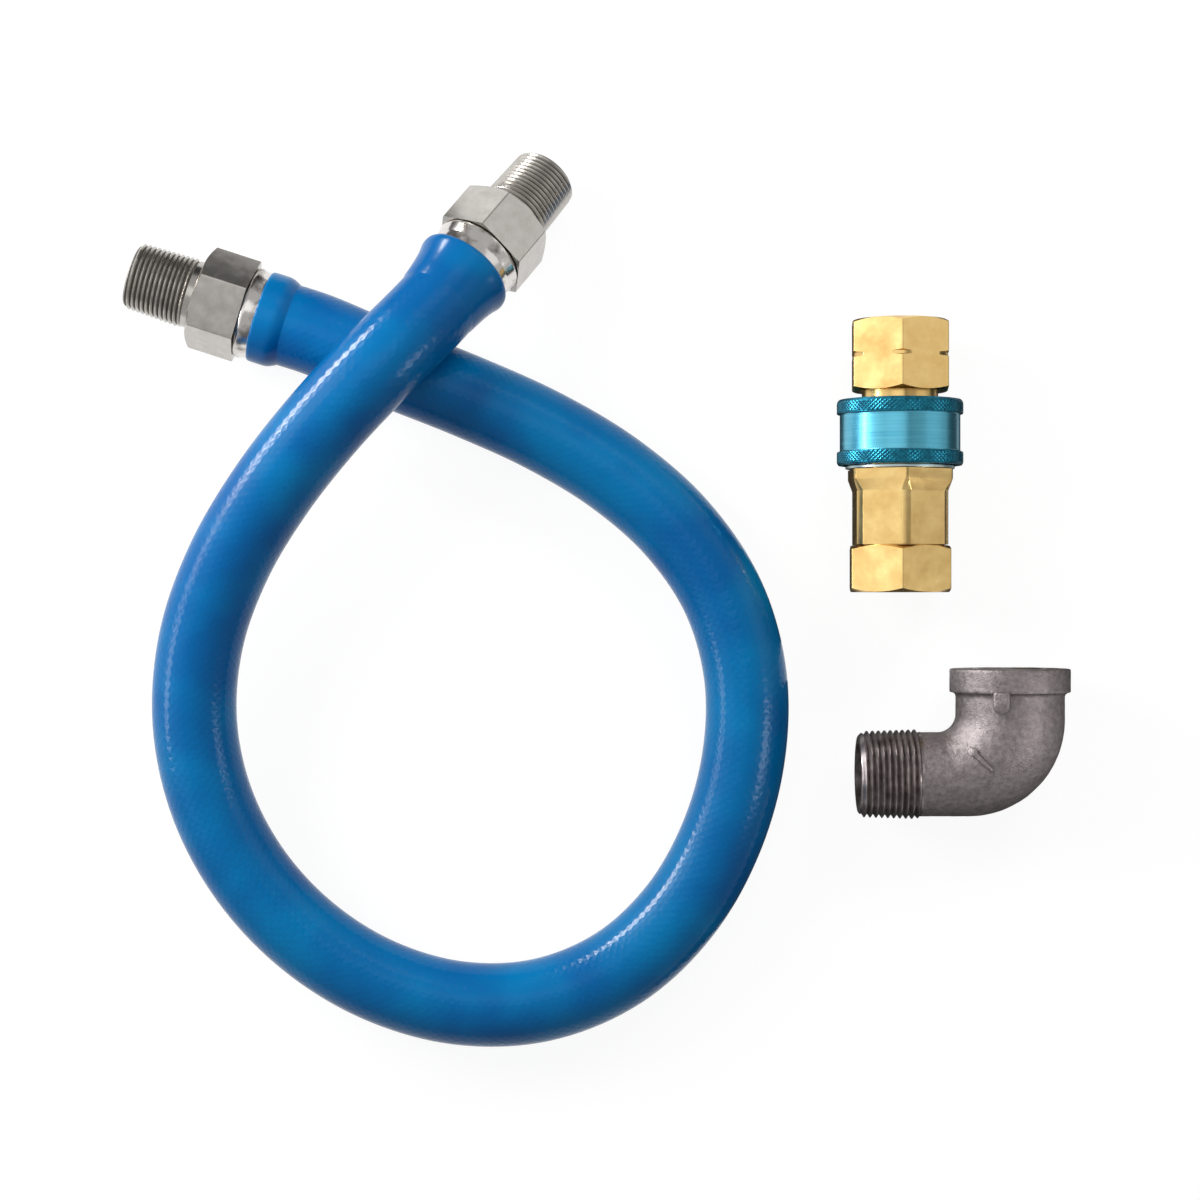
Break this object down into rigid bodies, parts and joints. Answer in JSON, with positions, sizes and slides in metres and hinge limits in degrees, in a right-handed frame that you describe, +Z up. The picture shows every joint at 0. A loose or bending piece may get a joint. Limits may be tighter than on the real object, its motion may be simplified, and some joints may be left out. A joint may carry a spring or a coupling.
{
  "type": "coated gas connector hose kit",
  "caption": "Coated braided gas hose laid in a loop, with threaded hex ends, a ball-lock quick-disconnect coupling and a cast street elbow beside it.",
  "frame": {"origin": "on the floor under the middle of the whole kit's footprint", "axes": "+Z up; +X from the hose loop towards the coupling and the elbow; +Y towards the hose's two threaded ends"},
  "size_m": [0.3523, 0.3341, 0.0673],
  "materials": {
    "blue_coating": "glossy soft vinyl coating",
    "braid_wire": "woven stainless wire",
    "hose_steel": "bright thin stainless tube",
    "stainless_bar": "satin machined stainless steel",
    "polished_collar": "polished stainless steel",
    "brass": "bright machined brass",
    "blue_anodised": "blue anodised, knurled bands",
    "pale_ring": "pale zinc plate",
    "spring_steel": "plain spring steel",
    "ball_steel": "polished bearing steel",
    "black_rubber": "matt nitrile rubber",
    "cast_iron": "rough dark malleable iron"
  },
  "bodies": {
    "hose": {"hose_jacket": "blue_coating", "hose_braid": "braid_wire", "hose_core": "hose_steel", "end_fitting_a": "stainless_bar", "weld_collar_a": "polished_collar", "end_cuff_a": "blue_coating", "end_fitting_b": "stainless_bar", "weld_collar_b": "polished_collar", "end_cuff_b": "blue_coating"},
    "coupling_socket": {"socket_body": "brass", "socket_adapter": "brass", "spring_seat_ring": "pale_ring", "retaining_ring": "spring_steel", "plug_seal": "black_rubber", "adapter_seal": "black_rubber", "valve_guide": "brass", "sleeve_spring": "spring_steel", "poppet_spring": "spring_steel"},
    "coupling_plug": {"plug_body": "brass"},
    "coupling_sleeve": {"lock_sleeve": "blue_anodised"},
    "valve": {"valve_poppet": "brass", "poppet_seal": "black_rubber"},
    "ball_1": {"lock_ball_1": "ball_steel"},
    "ball_2": {"lock_ball_2": "ball_steel"},
    "ball_3": {"lock_ball_3": "ball_steel"},
    "ball_4": {"lock_ball_4": "ball_steel"},
    "ball_5": {"lock_ball_5": "ball_steel"},
    "ball_6": {"lock_ball_6": "ball_steel"},
    "elbow": {"street_elbow": "cast_iron"}
  },
  "joints": [
    {"name": "coupling_lift", "type": "slide", "parent": "hose", "child": "coupling_socket", "axis": [0, 0, 1], "range_m": [0, 0.12]},
    {"name": "elbow_lift", "type": "slide", "parent": "hose", "child": "elbow", "axis": [0, 0, 1], "range_m": [0, 0.12]},
    {"name": "plug_swivel", "type": "hinge", "parent": "coupling_socket", "child": "coupling_plug", "pos_m": [0.1127, 0.06, 0.0234], "axis": [0, 1, 0], "continuous": true},
    {"name": "sleeve_slide", "type": "slide", "parent": "coupling_socket", "child": "coupling_sleeve", "axis": [0, -1, 0], "range_m": [0, 0.006], "stiffness_N_per_m": 2000, "deforming": ["sleeve_spring"]},
    {"name": "valve_slide", "type": "slide", "parent": "coupling_socket", "child": "valve", "axis": [0, -1, 0], "range_m": [0, 0.0015], "stiffness_N_per_m": 800, "deforming": ["poppet_spring"]},
    {"name": "ball_1_slide", "type": "slide", "parent": "coupling_socket", "child": "ball_1", "axis": [1, 0, 0], "range_m": [0, 0.0018]},
    {"name": "ball_2_slide", "type": "slide", "parent": "coupling_socket", "child": "ball_2", "axis": [0.5, 0, -0.866], "range_m": [0, 0.0018]},
    {"name": "ball_3_slide", "type": "slide", "parent": "coupling_socket", "child": "ball_3", "axis": [-0.5, 0, -0.866], "range_m": [0, 0.0018]},
    {"name": "ball_4_slide", "type": "slide", "parent": "coupling_socket", "child": "ball_4", "axis": [-1, 0, 0], "range_m": [0, 0.0018]},
    {"name": "ball_5_slide", "type": "slide", "parent": "coupling_socket", "child": "ball_5", "axis": [-0.5, 0, 0.866], "range_m": [0, 0.0018]},
    {"name": "ball_6_slide", "type": "slide", "parent": "coupling_socket", "child": "ball_6", "axis": [0.5, 0, 0.866], "range_m": [0, 0.0018]}
  ],
  "couplings": [
    {"joint": "ball_1_slide", "follows": "sleeve_slide", "ratio": 0.3},
    {"joint": "ball_2_slide", "follows": "sleeve_slide", "ratio": 0.3},
    {"joint": "ball_3_slide", "follows": "sleeve_slide", "ratio": 0.3},
    {"joint": "ball_4_slide", "follows": "sleeve_slide", "ratio": 0.3},
    {"joint": "ball_5_slide", "follows": "sleeve_slide", "ratio": 0.3},
    {"joint": "ball_6_slide", "follows": "sleeve_slide", "ratio": 0.3}
  ]
}
